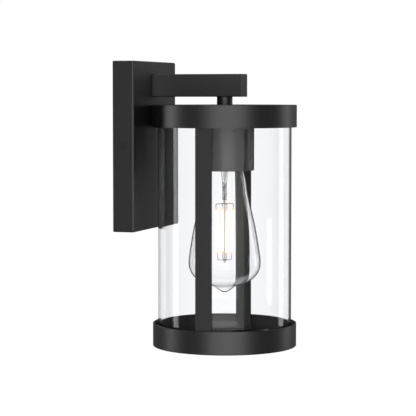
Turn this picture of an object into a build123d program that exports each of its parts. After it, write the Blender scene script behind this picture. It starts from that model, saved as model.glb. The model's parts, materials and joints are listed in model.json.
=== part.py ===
import os
from math import sqrt

from build123d import *

os.makedirs("parts", exist_ok=True)

# Outdoor wall lantern: a cast backplate carries a square arm, and under the arm hangs a round
# cap with two straps, a clear glass cylinder, a base ring and a screw-in filament lamp.
# Millimetres. The origin is the middle of the backplate's rear plane, on the wall.
# +Z is up, +Y points into the wall, and the lantern stands out along -Y.

# Backplate, a shallow box that is open towards the wall
plate_width = 110.8
plate_height = 148.4
plate_depth = 19.4
plate_wall = 1.6
plate_edge_radius = 1.6

# Arm, a rectangular tube with a welded end plate; a shouldered block holds its root off the plate
arm_width = 17.0
arm_height = 20.0
arm_past_axis = 18.3
arm_wall = 1.2
arm_edge_radius = 0.8
arm_end_edge_radius = 0.72
arm_below_plate_top = 11.15
arm_root_gap = 1.3
end_plate_thickness = 2.0
root_block_length = 16.0
root_block_clearance = 0.05
root_shoulder_inset = 0.8

# Lantern body: where its axis stands and the heights of its pieces
ring_plate_gap = 1.2
stem_radius = 6.9
stem_height = 7.0
ring_radius = 63.5
ring_wall = 1.5
ring_edge_radius = 0.6
cap_height = 19.6
open_height = 173.1
base_height = 20.1

# Straps, flat bars with a tab bent inwards at each end
strap_width = 14.4
strap_thickness = 2.0
strap_bend_radius = 0.4
strap_side_clearance = 0.2
tab_length = 17.5
tab_screw_inset = 11.5
boss_radius = 4.2
boss_height = 3.5

# Glass cylinder and its two silicone rings
glass_wall = 2.3
glass_clearance = 0.45
glass_edge_radius = 0.7
gasket_thickness = 2.5
gasket_width = 4.0
gasket_clearance = 0.05
seat_notch_clearance = 0.4

# Base ring's ledge, open in the middle so that the lamp comes out below
ledge_thickness = 2.6
ledge_width = 20.0

# Hollow threaded rod through arm, stem, cap and cup
nipple_radius = 5.0
nipple_bore_radius = 3.3
nipple_clearance = 0.2
nipple_end_stub = 1.0
nut_side_clearance = 0.3
nut_thickness = 3.0
washer_inset = 0.1
washer_thickness = 1.0

# Lampholder
cup_radius = 26.0
cup_wall = 1.0
cup_lip_radius = 0.8
cup_below_skirt = 38.1
bracket_strip = 1.5
bracket_strip_width = 12.0
bracket_leg_half_width = 9.6
bracket_foot_half_width = 16.2
holder_radius = 18.0
holder_below_cap = 14.5
holder_past_lamp_base = 1.7
holder_ceiling = 4.0
screw_shell_wall = 0.5
screw_shell_fit = 0.1
contact_leaf = 0.6
contact_leaf_width = 6.0
contact_leaf_drop = 4.0
contact_leaf_slope = 2.0
contact_leaf_inset = 2.0
holder_edge_radius = 0.8
holder_throat_clearance = 1.0

# Lamp with a medium screw base; z values are below the lampholder's contact leaf
lamp_screw_clearance = 0.3
lamp_base_radius = 13.0
lamp_thread_depth = 0.65
lamp_base_wall = 0.35
lamp_base_flange_width = 3.0
lamp_base_flange = 0.5
lamp_base_length = 20.0
lamp_thread_pitch = 3.629
lamp_thread_turns = 4
lamp_thread_crest = 0.75
lamp_insulator_inset = 2.6
lamp_insulator_height = 5.0
lamp_contact_radius = 4.6
lamp_contact_height = 1.0
lamp_contact_margin = 0.6
lamp_neck_clearance = 0.1
lamp_neck_tuck = 8.0
lamp_radius = 31.9
lamp_glass_wall = 0.7
lamp_widest_below = 115.4
lamp_bowl_depth = 21.7
lamp_corner_radius = 18.0
lamp_pip_radius = 8.6
lamp_pip_length = 4.6
lamp_pip_slope = 0.85
# The flank's form, as shares of the way out and of the way down from neck to widest circle
lamp_flank_shares = ((0.205, 0.085), (0.395, 0.261), (0.700, 0.577), (0.955, 0.896))
lamp_neck_slope = 0.25

# Lamp's inside: flared glass stem, centre rod, lead wires, wire frame and four filaments
flare_clearance = 0.4
flare_start_below = 21.0
stem_tube_radius = 3.4
stem_wall = 0.8
stem_tube_below = 48.0
press_length = 12.0
press_width = 8.0
press_thickness = 3.4
press_edge_radius = 1.3
rod_radius = 0.9
rod_past_frame = 2.6
frame_wire_radius = 0.28
lead_offset = 1.75
lead_clearance = 0.05
lead_branch_radius = 0.25
frame_hub_wall = 0.35
frame_hub_height = 1.4
frame_hub_fit = 0.05
frame_bend = 1.2
frame_below_press = 3.2
filament_radius = 1.0
filament_below_frame = 3.3
filament_drop = 42.2
filament_above_frame = 4.3
filament_top_spread = 7.9
filament_bottom_spread = 6.4
filament_count = 4
filament_turn = 32.3

# Wall bracket, the steel strip that is screwed to the wall box
bracket_thickness = 2.0
bracket_height = 22.0
bracket_ear_depth = 14.0
bracket_ear_height = 16.0
bracket_ear_clearance = 0.3
wall_screw_spacing = 76.0
wall_slot_width = 5.0
wall_slot_length = 14.0

# Foam strips inside the backplate's rear rim
foam_width = 3.0
foam_depth = 3.0
foam_notch_clearance = 0.5

# Screws
thread_clearance = 0.05
screw_clearance = 0.25
side_screw_radius = 1.5
side_screw_head_radius = 2.3
side_screw_length = 8.0
arm_screw_radius = 1.5
arm_screw_head_radius = 2.7
arm_screw_length = 10.0
arm_screw_x = 4.3
arm_screw_z = 4.8
strap_screw_radius = 2.0
strap_screw_head_radius = 3.6
holder_screw_radius = 1.5
holder_screw_head_radius = 2.6
holder_screw_floor = 0.6
ground_screw_radius = 2.0
ground_screw_head_radius = 3.6
ground_screw_x = 20.0
terminal_screw_radius = 1.4
terminal_screw_length = 4.0
terminal_mount_radius = 1.5
terminal_mount_head_radius = 2.6
pan_head_share = 0.62
pan_head_round_share = 0.4
recess_share = 0.5
recess_depth_share = 0.6
flat_recess_share = 0.75

# Wiring
wire_radius = 0.9
wire_clearance = 0.1
wire_bore_radius = 3.2
wire_offset = 1.7
wire_spacing = 3.0
wire_bend = 2.5
wire_tuck = 3.5
wire_terminal_y_offset = 9.0
terminal_width = 27.0
terminal_height = 12.0
terminal_depth = 9.0
terminal_boss_radius = 3.0
terminal_boss_height = 3.0
terminal_mount_inset = 3.3
terminal_pole_x = 4.0
terminal_below_arm = 9.0
terminal_wire_inset = 3.0
terminal_pole_rise = 2.0
terminal_slot_width = 0.5
terminal_slot_depth = 0.7
lug_thickness = 0.8
lug_radius = 4.2
lug_barrel_wall = 0.6
lug_barrel_length = 5.0
lug_neck_length = 2.2

# Heights and places that follow from the sizes above
face_y = -plate_depth
inner_face_y = face_y + plate_wall
plate_inner_width = plate_width - 2 * plate_wall
plate_inner_height = plate_height - 2 * plate_wall
reach = ring_radius + ring_plate_gap
axis_y = face_y - reach
arm_length = reach + arm_past_axis
arm_inner_width = arm_width - 2 * arm_wall
arm_inner_height = arm_height - 2 * arm_wall
nut_across_flats = arm_inner_width - 2 * nut_side_clearance
washer_radius = nut_across_flats / 2 - washer_inset
arm_top_z = plate_height / 2 - arm_below_plate_top
arm_centre_z = arm_top_z - arm_height / 2
arm_bottom_z = arm_top_z - arm_height
arm_floor_z = arm_bottom_z + arm_wall
cap_top_z = arm_bottom_z - stem_height
cap_under_z = cap_top_z - ring_wall
cap_skirt_z = cap_top_z - cap_height
base_top_z = cap_skirt_z - open_height
base_bottom_z = base_top_z - base_height
ledge_z = base_bottom_z + ledge_thickness
ring_inner_radius = ring_radius - ring_wall
ledge_inner_radius = ring_radius - ledge_width
strap_outer_x = sqrt((ring_inner_radius - strap_side_clearance) ** 2 - (strap_width / 2) ** 2)
strap_inner_x = strap_outer_x - strap_thickness
tab_screw_x = strap_outer_x - tab_screw_inset
boss_z = cap_under_z - boss_height
tab_under_z = boss_z - strap_thickness
foot_top_z = ledge_z + strap_thickness
glass_radius = strap_inner_x - glass_clearance
glass_inner_radius = glass_radius - glass_wall
glass_top_z = tab_under_z - gasket_thickness
glass_bottom_z = foot_top_z + gasket_thickness
gasket_radius = strap_inner_x - strap_bend_radius - gasket_clearance
gasket_inner_radius = gasket_radius - gasket_width
cup_rim_z = cap_skirt_z - cup_below_skirt
cup_floor_z = cap_under_z - cup_wall
holder_top_z = cap_under_z - holder_below_cap
holder_ceiling_z = holder_top_z - holder_ceiling
holder_screw_length = bracket_strip + holder_ceiling - holder_screw_floor
lower_washer_z = cup_floor_z - bracket_strip - washer_thickness
lower_nut_z = lower_washer_z - nut_thickness
upper_nut_z = arm_floor_z + washer_thickness
nipple_bottom_z = lower_nut_z - nipple_end_stub
nipple_top_z = upper_nut_z + nut_thickness + nipple_end_stub
lamp_zero_z = holder_ceiling_z - contact_leaf_drop
lamp_base_root_radius = lamp_base_radius - lamp_thread_depth
lamp_base_inner_radius = lamp_base_root_radius - lamp_base_wall
lamp_base_flange_radius = lamp_base_inner_radius - lamp_base_flange_width
lamp_insulator_radius = lamp_base_radius - lamp_insulator_inset
lamp_neck_radius = lamp_base_inner_radius - lamp_neck_clearance
flare_radius = lamp_neck_radius - lamp_glass_wall - flare_clearance
lamp_insulator_z = lamp_zero_z - lamp_contact_height - lamp_insulator_height
lamp_shell_bottom_z = lamp_insulator_z - lamp_base_length
lamp_bottom_below = lamp_widest_below + lamp_bowl_depth
holder_rim_z = lamp_shell_bottom_z - holder_past_lamp_base
frame_top_below = stem_tube_below + press_length + frame_below_press
filament_top_below = frame_top_below + filament_below_frame
filament_bottom_below = filament_top_below + filament_drop
frame_bottom_below = filament_bottom_below + filament_above_frame
rod_end_below = frame_bottom_below + rod_past_frame
screw_shell_radius = lamp_base_radius + lamp_screw_clearance
screw_shell_top_z = lamp_insulator_z + lamp_insulator_height / 2
holder_bore_radius = screw_shell_radius + screw_shell_wall + screw_shell_fit
holder_throat_radius = lamp_insulator_radius + holder_throat_clearance
side_screw_y = -plate_depth / 2
bracket_length = plate_inner_width - 2 * bracket_ear_clearance
terminal_mount_x = terminal_width / 2 - terminal_mount_inset
ground_screw_length = lug_thickness + bracket_thickness
terminal_top_z = arm_bottom_z - terminal_below_arm
terminal_centre_z = terminal_top_z - terminal_height / 2
terminal_front_y = inner_face_y + terminal_boss_height
terminal_rear_y = terminal_front_y + terminal_depth
terminal_wire_y = terminal_front_y + terminal_wire_inset

lantern_axis = Axis((0, axis_y, 0), (0, 0, 1))
lantern_section = Plane(origin=(0, axis_y, 0), x_dir=(1, 0, 0), z_dir=(0, -1, 0))
both_sides = ((-1, "left"), (1, "right"))
arm_screw_points = [(side * arm_screw_x, arm_centre_z + side * arm_screw_z) for side in (-1, 1)]
terminal_mount_points = [(side * terminal_mount_x, terminal_centre_z) for side in (-1, 1)]
tab_points = [(-tab_screw_x, 0), (tab_screw_x, 0)]


def level(z):
    """Horizontal plane at height z, centred on the lantern's axis."""
    return Plane(origin=(0, axis_y, z))


def upright(y):
    """Upright plane at depth y, facing away from the wall: its x is X and its y is Z."""
    return Plane.XZ.offset(-y)


def below(depth):
    """Height of a point of the lamp, measured down from the lamp's contact."""
    return lamp_zero_z - depth


def save(piece, name):
    piece.part.label = name
    export_step(piece.part, f"parts/{name}.step")


def pan_screws(seats, radius, head_radius, length):
    """Pan-head screws; each seat is a plane under the head, facing the way the head stands up."""
    head_height = head_radius * pan_head_share
    with BuildPart() as screws:
        with Locations(*seats):
            Cylinder(head_radius, head_height, align=(Align.CENTER, Align.CENTER, Align.MIN))
        rims = screws.edges().filter_by(GeomType.CIRCLE)
        tops = [rim for rim in rims if any(is_on_top(rim, seat, head_height) for seat in seats)]
        fillet(tops, head_height * pan_head_round_share)
        with Locations(*seats):
            Cylinder(radius, length, align=(Align.CENTER, Align.CENTER, Align.MAX))
        for seat in seats:
            with BuildSketch(seat.offset(head_height)):
                RegularPolygon(head_radius * recess_share, 6)
            extrude(amount=-head_height * recess_depth_share, mode=Mode.SUBTRACT)
    return screws


def is_on_top(rim, seat, head_height):
    """True for the rim of a head's upper face."""
    offset = rim.arc_center - seat.origin
    return abs(offset.dot(seat.z_dir) - head_height) < 1e-6


def countersunk_screws(seats, radius, head_radius, length):
    """Flat-head screws; each seat is a plane in the surface, facing out of it."""
    head_height = head_radius - radius
    with BuildPart() as screws:
        with Locations(*seats):
            Cone(radius, head_radius, head_height, align=(Align.CENTER, Align.CENTER, Align.MAX))
            Cylinder(radius, length, align=(Align.CENTER, Align.CENTER, Align.MAX))
        for seat in seats:
            with BuildSketch(seat):
                RegularPolygon(radius * flat_recess_share, 6)
            extrude(amount=-head_height, mode=Mode.SUBTRACT)
    return screws


def wire(points, bends):
    """Insulated lead along straight runs joined by arcs."""
    with BuildPart() as lead:
        with BuildLine() as route:
            FilletPolyline(*points, radius=bends)
        with BuildSketch(Plane(origin=route.line @ 0, z_dir=route.line % 0)):
            Circle(wire_radius)
        sweep()
    return lead


# Backplate: rounded box, hollowed from the rear, with holes for the arm, the wires and the side screws
side_seats = [
    Plane(origin=(side * plate_width / 2, side_screw_y, 0), z_dir=(side, 0, 0)) for side in (-1, 1)
]
with BuildPart() as backplate:
    with BuildSketch(Plane.XZ):
        Rectangle(plate_width, plate_height)
    extrude(amount=plate_depth)
    fillet(backplate.edges().filter_by(Axis.Y), plate_edge_radius)
    fillet(backplate.faces().sort_by(Axis.Y)[0].edges(), plate_edge_radius)
    with BuildSketch(Plane.XZ):
        Rectangle(plate_inner_width, plate_inner_height)
    extrude(amount=plate_depth - plate_wall, mode=Mode.SUBTRACT)
    with BuildSketch(upright(inner_face_y)):
        with Locations(*terminal_mount_points):
            Circle(terminal_boss_radius)
    extrude(amount=-terminal_boss_height)
    with BuildSketch(upright(terminal_front_y)):
        with Locations(*terminal_mount_points):
            Circle(terminal_mount_radius + thread_clearance)
    extrude(amount=terminal_boss_height, mode=Mode.SUBTRACT)
    with BuildSketch(upright(inner_face_y)):
        with Locations(*arm_screw_points):
            Circle(arm_screw_radius + screw_clearance)
        with Locations((0, arm_centre_z)):
            Circle(wire_bore_radius)
    extrude(amount=plate_wall, mode=Mode.SUBTRACT)
    with Locations(*side_seats):
        CounterSinkHole(
            side_screw_radius + screw_clearance,
            side_screw_head_radius + screw_clearance,
            depth=plate_wall,
        )
save(backplate, "backplate")

side_screws = countersunk_screws(
    side_seats, side_screw_radius, side_screw_head_radius, side_screw_length
)
save(side_screws, "side_screws")

# Wall bracket: flat strip on the wall with two slots, and an ear at each end for a side screw
with BuildPart() as wall_bracket:
    with BuildSketch(Plane.XZ):
        Rectangle(bracket_length, bracket_height)
        with Locations((-wall_screw_spacing / 2, 0), (wall_screw_spacing / 2, 0)):
            SlotOverall(wall_slot_length, wall_slot_width, mode=Mode.SUBTRACT)
        with Locations((ground_screw_x, 0)):
            Circle(ground_screw_radius + thread_clearance, mode=Mode.SUBTRACT)
    extrude(amount=bracket_thickness)
    for start_x in (-bracket_length / 2, bracket_length / 2 - bracket_thickness):
        with BuildSketch(Plane.YZ.offset(start_x)):
            with Locations((-bracket_ear_depth / 2, 0)):
                Rectangle(bracket_ear_depth, bracket_ear_height)
            with Locations((side_screw_y, 0)):
                Circle(side_screw_radius + thread_clearance, mode=Mode.SUBTRACT)
        extrude(amount=bracket_thickness)
save(wall_bracket, "wall_bracket")

# Foam strips: a frame inside the rear rim, parted where the bracket's ends pass
with BuildPart() as wall_gasket:
    with BuildSketch(Plane.XZ):
        Rectangle(plate_inner_width, plate_inner_height)
        Rectangle(
            plate_inner_width - 2 * foam_width,
            plate_inner_height - 2 * foam_width,
            mode=Mode.SUBTRACT,
        )
        Rectangle(plate_width, bracket_height + 2 * foam_notch_clearance, mode=Mode.SUBTRACT)
    extrude(amount=foam_depth)
save(wall_gasket, "wall_gasket")

# Arm: tube, end plate, and the tapped block inside its root
arm_root_y = face_y - arm_root_gap
arm_tube_end_y = face_y - arm_length + end_plate_thickness
with BuildPart() as arm_tube:
    with BuildSketch(upright(arm_root_y)):
        with Locations((0, arm_centre_z)):
            RectangleRounded(arm_width, arm_height, arm_edge_radius)
            Rectangle(arm_inner_width, arm_inner_height, mode=Mode.SUBTRACT)
    extrude(amount=arm_root_y - arm_tube_end_y)
    with BuildSketch(level(arm_bottom_z)):
        Circle(nipple_radius + nipple_clearance)
    extrude(amount=arm_wall, mode=Mode.SUBTRACT)
save(arm_tube, "arm_tube")

with BuildPart() as arm_end_plate:
    with BuildSketch(upright(arm_tube_end_y)):
        with Locations((0, arm_centre_z)):
            RectangleRounded(arm_width, arm_height, arm_edge_radius)
    extrude(amount=end_plate_thickness)
    fillet(arm_end_plate.faces().sort_by(Axis.Y)[0].edges(), arm_end_edge_radius)
save(arm_end_plate, "arm_end_plate")

with BuildPart() as arm_root_block:
    with BuildSketch(upright(face_y)):
        with Locations((0, arm_centre_z)):
            Rectangle(arm_width - 2 * root_shoulder_inset, arm_height - 2 * root_shoulder_inset)
    extrude(amount=arm_root_gap)
    with BuildSketch(upright(arm_root_y)):
        with Locations((0, arm_centre_z)):
            Rectangle(
                arm_inner_width - 2 * root_block_clearance,
                arm_inner_height - 2 * root_block_clearance,
            )
    extrude(amount=root_block_length)
    with BuildSketch(upright(face_y)):
        with Locations((0, arm_centre_z)):
            Circle(wire_bore_radius)
        with Locations(*arm_screw_points):
            Circle(arm_screw_radius + thread_clearance)
    extrude(amount=arm_root_gap + root_block_length, mode=Mode.SUBTRACT)
save(arm_root_block, "arm_root_block")

arm_screw_seats = [
    Plane(origin=(x, inner_face_y, z), z_dir=(0, 1, 0)) for x, z in arm_screw_points
]
arm_screws = pan_screws(arm_screw_seats, arm_screw_radius, arm_screw_head_radius, arm_screw_length)
save(arm_screws, "arm_screws")

# Stem: the short tube that shows between arm and cap, and the threaded rod inside it
with BuildPart() as stem_spacer:
    with BuildSketch(level(cap_top_z)):
        Circle(stem_radius)
        Circle(nipple_radius + nipple_clearance, mode=Mode.SUBTRACT)
    extrude(amount=stem_height)
save(stem_spacer, "stem_spacer")

with BuildPart() as threaded_nipple:
    with BuildSketch(level(nipple_bottom_z)):
        Circle(nipple_radius)
        Circle(nipple_bore_radius, mode=Mode.SUBTRACT)
    extrude(amount=nipple_top_z - nipple_bottom_z)
save(threaded_nipple, "threaded_nipple")

with BuildPart() as nipple_nuts:
    for nut_z in (lower_nut_z, upper_nut_z):
        with BuildSketch(level(nut_z)):
            RegularPolygon(nut_across_flats / 2, 6, major_radius=False, rotation=30)
            Circle(nipple_radius + thread_clearance, mode=Mode.SUBTRACT)
        extrude(amount=nut_thickness)
save(nipple_nuts, "nipple_nuts")

with BuildPart() as nipple_washers:
    for washer_z in (lower_washer_z, arm_floor_z):
        with BuildSketch(level(washer_z)):
            Circle(washer_radius)
            Circle(nipple_radius + nipple_clearance, mode=Mode.SUBTRACT)
        extrude(amount=washer_thickness)
save(nipple_washers, "nipple_washers")

# Top cap: disc and skirt, with a ring under the disc that the glass seats against and two tapped bosses
strap_notch = strap_width + 2 * seat_notch_clearance
with BuildPart() as top_cap:
    with BuildSketch(level(cap_skirt_z)):
        Circle(ring_radius)
    extrude(amount=cap_height)
    fillet(top_cap.faces().sort_by(Axis.Z)[-1].edges(), ring_edge_radius)
    with BuildSketch(level(cap_skirt_z)):
        Circle(ring_inner_radius)
    extrude(amount=cap_height - ring_wall, mode=Mode.SUBTRACT)
    with BuildSketch(level(tab_under_z)):
        Circle(gasket_radius)
        Circle(gasket_inner_radius, mode=Mode.SUBTRACT)
        Rectangle(2 * ring_radius, strap_notch, mode=Mode.SUBTRACT)
    extrude(amount=cap_under_z - tab_under_z)
    with BuildSketch(level(boss_z)):
        with Locations(*tab_points):
            Circle(boss_radius)
    extrude(amount=boss_height)
    with BuildSketch(level(boss_z)):
        with Locations(*tab_points):
            Circle(strap_screw_radius + thread_clearance)
    extrude(amount=boss_height, mode=Mode.SUBTRACT)
    with BuildSketch(level(cap_under_z)):
        Circle(nipple_radius + nipple_clearance)
    extrude(amount=ring_wall, mode=Mode.SUBTRACT)
save(top_cap, "top_cap")

# Base ring: wall and ledge, with a raised seat for the glass and countersunk holes for the straps
foot_seats = [
    Plane(origin=(side * tab_screw_x, axis_y, base_bottom_z), z_dir=(0, 0, -1)) for side in (-1, 1)
]
with BuildPart() as bottom_ring:
    with BuildSketch(level(base_bottom_z)):
        Circle(ring_radius)
        Circle(ring_inner_radius, mode=Mode.SUBTRACT)
    extrude(amount=base_height)
    with BuildSketch(level(base_bottom_z)):
        Circle(ring_radius - ring_wall / 2)
        Circle(ledge_inner_radius, mode=Mode.SUBTRACT)
    extrude(amount=ledge_thickness)
    bottom_rims = bottom_ring.edges().filter_by(GeomType.CIRCLE).group_by(Axis.Z)[0]
    fillet(bottom_rims.sort_by(SortBy.RADIUS)[-1], ring_edge_radius)
    with BuildSketch(level(ledge_z)):
        Circle(gasket_radius)
        Circle(gasket_inner_radius, mode=Mode.SUBTRACT)
        Rectangle(2 * ring_radius, strap_notch, mode=Mode.SUBTRACT)
    extrude(amount=strap_thickness)
    with Locations(*foot_seats):
        CounterSinkHole(
            strap_screw_radius + screw_clearance,
            strap_screw_head_radius + screw_clearance,
            depth=ledge_thickness,
        )
save(bottom_ring, "bottom_ring")

# Straps: a bar bent to a C, drawn as its side outline and pulled to the bar's width
for side, name in both_sides:
    tab_end_x = side * (strap_outer_x - tab_length)
    outer_x = side * strap_outer_x
    inner_x = side * strap_inner_x
    with BuildPart() as strap:
        with BuildSketch(lantern_section):
            with BuildLine():
                Polyline(
                    (tab_end_x, boss_z),
                    (outer_x, boss_z),
                    (outer_x, ledge_z),
                    (tab_end_x, ledge_z),
                    (tab_end_x, foot_top_z),
                    (inner_x, foot_top_z),
                    (inner_x, tab_under_z),
                    (tab_end_x, tab_under_z),
                    close=True,
                )
            make_face()
        extrude(amount=strap_width / 2, both=True)
        bends = strap.edges().filter_by(Axis.Y)
        fillet([bend for bend in bends if abs(bend.center().X - outer_x) < 1e-6],
               strap_bend_radius + strap_thickness)
        bends = strap.edges().filter_by(Axis.Y)
        fillet([bend for bend in bends if abs(bend.center().X - inner_x) < 1e-6], strap_bend_radius)
        with BuildSketch(level(boss_z)):
            with Locations((side * tab_screw_x, 0)):
                Circle(strap_screw_radius + screw_clearance)
        extrude(amount=-strap_thickness, mode=Mode.SUBTRACT)
        with BuildSketch(level(ledge_z)):
            with Locations((side * tab_screw_x, 0)):
                Circle(strap_screw_radius + thread_clearance)
        extrude(amount=strap_thickness, mode=Mode.SUBTRACT)
    save(strap, f"strap_{name}")

tab_seats = [
    Plane(origin=(side * tab_screw_x, axis_y, tab_under_z), z_dir=(0, 0, -1)) for side in (-1, 1)
]
strap_top_screws = pan_screws(
    tab_seats, strap_screw_radius, strap_screw_head_radius, strap_thickness + boss_height
)
save(strap_top_screws, "strap_top_screws")

strap_bottom_screws = countersunk_screws(
    foot_seats, strap_screw_radius, strap_screw_head_radius, ledge_thickness + strap_thickness
)
save(strap_bottom_screws, "strap_bottom_screws")

# Glass cylinder with melted edges, and the silicone ring at each end
with BuildPart() as glass_cylinder:
    with BuildSketch(level(glass_bottom_z)):
        Circle(glass_radius)
        Circle(glass_inner_radius, mode=Mode.SUBTRACT)
    extrude(amount=glass_top_z - glass_bottom_z)
    fillet(glass_cylinder.edges().filter_by(GeomType.CIRCLE), glass_edge_radius)
save(glass_cylinder, "glass_cylinder")

for name, gasket_z in (("top", glass_top_z), ("bottom", foot_top_z)):
    with BuildPart() as glass_gasket:
        with BuildSketch(level(gasket_z)):
            Circle(gasket_radius)
            Circle(gasket_inner_radius, mode=Mode.SUBTRACT)
        extrude(amount=gasket_thickness)
    save(glass_gasket, f"glass_gasket_{name}")

# Socket cup: deep drawn cup, open below, clamped under the cap
with BuildPart() as socket_cup:
    with BuildSketch(level(cup_rim_z)):
        Circle(cup_radius)
    extrude(amount=cap_under_z - cup_rim_z)
    fillet(socket_cup.edges().filter_by(GeomType.CIRCLE).sort_by(Axis.Z)[0], cup_lip_radius)
    with BuildSketch(level(cup_rim_z)):
        Circle(cup_radius - cup_wall)
    extrude(amount=cup_floor_z - cup_rim_z, mode=Mode.SUBTRACT)
    with BuildSketch(level(cup_floor_z)):
        Circle(nipple_radius + nipple_clearance)
    extrude(amount=cup_wall, mode=Mode.SUBTRACT)
save(socket_cup, "socket_cup")

# Socket bracket: hat-shaped strip between the threaded rod and the lampholder
foot_z = holder_top_z + bracket_strip
leg_inner_x = bracket_leg_half_width - bracket_strip
holder_screw_x = (bracket_leg_half_width + bracket_foot_half_width) / 2
holder_screw_points = [(-holder_screw_x, 0), (holder_screw_x, 0)]
with BuildPart() as socket_bracket:
    with BuildSketch(lantern_section):
        with BuildLine():
            Polyline(
                (0, cup_floor_z),
                (bracket_leg_half_width, cup_floor_z),
                (bracket_leg_half_width, foot_z),
                (bracket_foot_half_width, foot_z),
                (bracket_foot_half_width, holder_top_z),
                (leg_inner_x, holder_top_z),
                (leg_inner_x, cup_floor_z - bracket_strip),
                (0, cup_floor_z - bracket_strip),
                close=True,
            )
        make_face()
        mirror(about=Plane.YZ)
    extrude(amount=bracket_strip_width / 2, both=True)
    with BuildSketch(level(cup_floor_z)):
        Circle(nipple_radius + nipple_clearance)
    extrude(amount=-bracket_strip, mode=Mode.SUBTRACT)
    with BuildSketch(level(holder_top_z)):
        with Locations(*holder_screw_points):
            Circle(holder_screw_radius + screw_clearance)
    extrude(amount=bracket_strip, mode=Mode.SUBTRACT)
save(socket_bracket, "socket_bracket")

holder_screw_seats = [
    Plane(origin=(x, axis_y, foot_z), z_dir=(0, 0, 1)) for x, _ in holder_screw_points
]
socket_screws = pan_screws(
    holder_screw_seats, holder_screw_radius, holder_screw_head_radius, holder_screw_length
)
save(socket_screws, "socket_screws")

# Lampholder: ceramic body, threaded sleeve inside it, and the contact leaf under its ceiling
wire_ends = [(0, side * wire_terminal_y_offset) for side in (-1, 1)]
with BuildPart() as socket_body:
    with BuildSketch(level(holder_rim_z)):
        Circle(holder_radius)
    extrude(amount=holder_top_z - holder_rim_z)
    fillet(socket_body.edges().filter_by(GeomType.CIRCLE), holder_edge_radius)
    with BuildSketch(level(holder_rim_z)):
        Circle(holder_bore_radius)
    extrude(amount=screw_shell_top_z - holder_rim_z, mode=Mode.SUBTRACT)
    with BuildSketch(level(screw_shell_top_z)):
        Circle(holder_throat_radius)
    extrude(amount=holder_ceiling_z - screw_shell_top_z, mode=Mode.SUBTRACT)
    with BuildSketch(level(holder_top_z)):
        with Locations(*holder_screw_points):
            Circle(holder_screw_radius + thread_clearance)
    extrude(amount=bracket_strip - holder_screw_length, mode=Mode.SUBTRACT)
    with BuildSketch(level(holder_top_z)):
        with Locations(*wire_ends):
            Circle(wire_radius + wire_clearance)
    extrude(amount=-wire_tuck, mode=Mode.SUBTRACT)
save(socket_body, "socket_body")

with BuildPart() as socket_screw_shell:
    with BuildSketch(level(holder_rim_z)):
        Circle(screw_shell_radius + screw_shell_wall)
        Circle(screw_shell_radius, mode=Mode.SUBTRACT)
    extrude(amount=screw_shell_top_z - holder_rim_z)
save(socket_screw_shell, "socket_screw_shell")

leaf_root_x = holder_throat_radius - contact_leaf_inset
leaf_bend_x = lamp_contact_radius - contact_leaf
with BuildPart() as socket_contact:
    with BuildSketch(lantern_section):
        with BuildLine():
            Polyline(
                (leaf_root_x, holder_ceiling_z),
                (leaf_root_x, holder_ceiling_z - contact_leaf),
                (leaf_bend_x + contact_leaf_slope, holder_ceiling_z - contact_leaf),
                (leaf_bend_x, lamp_zero_z),
                (-leaf_bend_x, lamp_zero_z),
                (-leaf_bend_x, lamp_zero_z + contact_leaf),
                (leaf_bend_x - contact_leaf / 2, lamp_zero_z + contact_leaf),
                (leaf_bend_x + contact_leaf_slope - contact_leaf / 2, holder_ceiling_z),
                close=True,
            )
        make_face()
    extrude(amount=contact_leaf_width / 2, both=True)
save(socket_contact, "socket_contact")

# Terminal block inside the backplate, its screws, and the earth lug on the wall bracket
upper_pole_z = terminal_centre_z + terminal_pole_rise
lower_pole_z = terminal_centre_z - terminal_pole_rise
pole_points = [(-terminal_pole_x, upper_pole_z), (terminal_pole_x, upper_pole_z), (0, lower_pole_z)]
with BuildPart() as terminal_block:
    with BuildSketch(upright(terminal_rear_y)):
        with Locations((0, terminal_centre_z)):
            Rectangle(terminal_width, terminal_height)
        with Locations(*terminal_mount_points):
            Circle(terminal_mount_radius + screw_clearance, mode=Mode.SUBTRACT)
    extrude(amount=terminal_depth)
    with BuildSketch(upright(terminal_rear_y)):
        with Locations(*pole_points):
            Circle(terminal_screw_radius + thread_clearance)
    extrude(amount=terminal_screw_length, mode=Mode.SUBTRACT)
    with BuildSketch(Plane(origin=(0, terminal_wire_y, terminal_top_z))):
        with Locations((-terminal_pole_x, 0), (terminal_pole_x, 0)):
            Circle(wire_radius + wire_clearance)
    extrude(amount=-wire_tuck, mode=Mode.SUBTRACT)
    with BuildSketch(Plane(origin=(0, terminal_wire_y, terminal_top_z - terminal_height))):
        Circle(wire_radius + wire_clearance)
    extrude(amount=wire_tuck, mode=Mode.SUBTRACT)
save(terminal_block, "terminal_block")

with BuildPart() as terminal_screws:
    with BuildSketch(upright(terminal_rear_y)):
        with Locations(*pole_points):
            Circle(terminal_screw_radius)
    extrude(amount=terminal_screw_length)
    with BuildSketch(upright(terminal_rear_y)):
        with Locations(*pole_points):
            Rectangle(2 * terminal_screw_radius, terminal_slot_width)
    extrude(amount=terminal_slot_depth, mode=Mode.SUBTRACT)
save(terminal_screws, "terminal_screws")

terminal_seats = [
    Plane(origin=(x, terminal_rear_y, z), z_dir=(0, 1, 0)) for x, z in terminal_mount_points
]
terminal_mount_screws = pan_screws(
    terminal_seats,
    terminal_mount_radius,
    terminal_mount_head_radius,
    terminal_depth + terminal_boss_height,
)
save(terminal_mount_screws, "terminal_mount_screws")

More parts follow.
